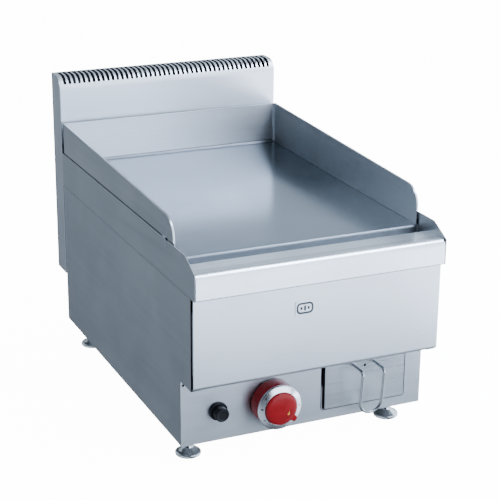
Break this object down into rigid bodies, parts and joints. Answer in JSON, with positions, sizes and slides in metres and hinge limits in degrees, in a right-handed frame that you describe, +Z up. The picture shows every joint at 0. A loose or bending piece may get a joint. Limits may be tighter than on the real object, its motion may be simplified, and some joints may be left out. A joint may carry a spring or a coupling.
{
  "type": "gas countertop griddle",
  "caption": "Countertop gas griddle with a flat polished plate, splash guard on three sides, slotted rear flue, control knob, igniter button and pull-out grease drawer.",
  "frame": {"origin": "on the surface that the feet stand on, at the middle of the overall box", "axes": "+X to the user's right, +Y from the front to the flue, +Z up; the control panel faces -Y"},
  "size_m": [0.4, 0.65, 0.475],
  "materials": {
    "stainless": "fine satin brushed",
    "polished_plate": "polished smooth, half mirror",
    "mill_steel": "mill finish",
    "drawer_steel": "bright, half gloss",
    "wire_steel": "bright drawn wire",
    "seal_rubber": "matt",
    "badge_enamel": "printed, satin",
    "brass": "machined",
    "copper": "drawn copper pipe",
    "steel_hardware": "zinc plated",
    "ceramic": "glazed white",
    "wire_silicone": "matt silicone",
    "knob_red": "half gloss red",
    "knob_chrome": "bright",
    "black_plastic": "half gloss black",
    "foot_chrome": "bright"
  },
  "bodies": {
    "casing": {"left_side_panel": "stainless", "right_side_panel": "stainless", "control_panel": "stainless", "front_fascia": "stainless", "worktop_front": "stainless", "grease_chute": "stainless", "worktop_left_wall": "stainless", "worktop_right_wall": "stainless", "splash_left": "stainless", "splash_right": "stainless", "splash_back": "stainless", "flue_front": "stainless", "flue_side_caps": "stainless", "flue_back": "stainless", "rear_panel": "stainless", "griddle_plate": "polished_plate", "fascia_brackets": "mill_steel", "bottom_plate": "mill_steel", "heat_shield": "mill_steel", "worktop_rear_rail": "mill_steel", "support_rails": "mill_steel", "flue_collar": "mill_steel", "firebox": "mill_steel", "burner_tube_left": "mill_steel", "burner_tube_right": "mill_steel", "burner_manifold": "mill_steel", "venturi_tube": "mill_steel", "burner_brackets": "mill_steel", "injector_bracket": "mill_steel", "valve_bracket": "mill_steel", "drawer_runners": "mill_steel", "valve_spring": "mill_steel", "igniter_spring": "mill_steel", "worktop_seals": "seal_rubber", "badge": "badge_enamel", "gas_valve_body": "brass", "injector": "brass", "gas_inlet_nipple": "brass", "pilot_burner": "brass", "gas_feed_pipe": "copper", "burner_pipe": "copper", "pilot_pipe": "copper", "thermocouple": "copper", "hex_nuts": "steel_hardware", "floor_screws": "steel_hardware", "spark_electrode": "ceramic", "ignition_wire": "wire_silicone", "igniter_housing": "black_plastic"},
    "valve_plunger": {"spring_seat": "steel_hardware"},
    "knob": {"valve_stem": "steel_hardware", "knob_body": "knob_red", "knob_ring": "knob_chrome", "knob_cap": "knob_red"},
    "igniter_push_button": {"igniter_button": "black_plastic"},
    "drawer": {"grease_drawer": "drawer_steel", "drawer_handle": "wire_steel"},
    "levelling_foot_front_left": {"foot_front_left": "foot_chrome"},
    "levelling_foot_front_right": {"foot_front_right": "foot_chrome"},
    "levelling_foot_rear_left": {"foot_rear_left": "foot_chrome"},
    "levelling_foot_rear_right": {"foot_rear_right": "foot_chrome"}
  },
  "joints": [
    {"name": "knob_push", "type": "slide", "parent": "casing", "child": "valve_plunger", "axis": [0, 1, 0], "range_m": [0, 0.003], "stiffness_N_per_m": 1500, "springref_m": -0.003, "deforming": ["valve_spring"]},
    {"name": "knob_turn", "type": "hinge", "parent": "valve_plunger", "child": "knob", "pos_m": [-0.056, -0.3, 0.0905], "axis": [0, -1, 0], "range_deg": [0, 270]},
    {"name": "igniter_push", "type": "slide", "parent": "casing", "child": "igniter_push_button", "axis": [0, 1, 0], "range_m": [0, 0.006], "stiffness_N_per_m": 900, "springref_m": -0.004, "deforming": ["igniter_spring"]},
    {"name": "drawer_slide", "type": "slide", "parent": "casing", "child": "drawer", "axis": [0, -1, 0], "range_m": [0, 0.29]},
    {"name": "foot_front_left_screw", "type": "hinge", "parent": "casing", "child": "levelling_foot_front_left", "pos_m": [-0.1695, -0.22, 0.02], "axis": [0, 0, 1], "continuous": true},
    {"name": "foot_front_right_screw", "type": "hinge", "parent": "casing", "child": "levelling_foot_front_right", "pos_m": [0.1695, -0.22, 0.02], "axis": [0, 0, 1], "continuous": true},
    {"name": "foot_rear_left_screw", "type": "hinge", "parent": "casing", "child": "levelling_foot_rear_left", "pos_m": [-0.1695, 0.234, 0.02], "axis": [0, 0, 1], "continuous": true},
    {"name": "foot_rear_right_screw", "type": "hinge", "parent": "casing", "child": "levelling_foot_rear_right", "pos_m": [0.1695, 0.234, 0.02], "axis": [0, 0, 1], "continuous": true}
  ]
}
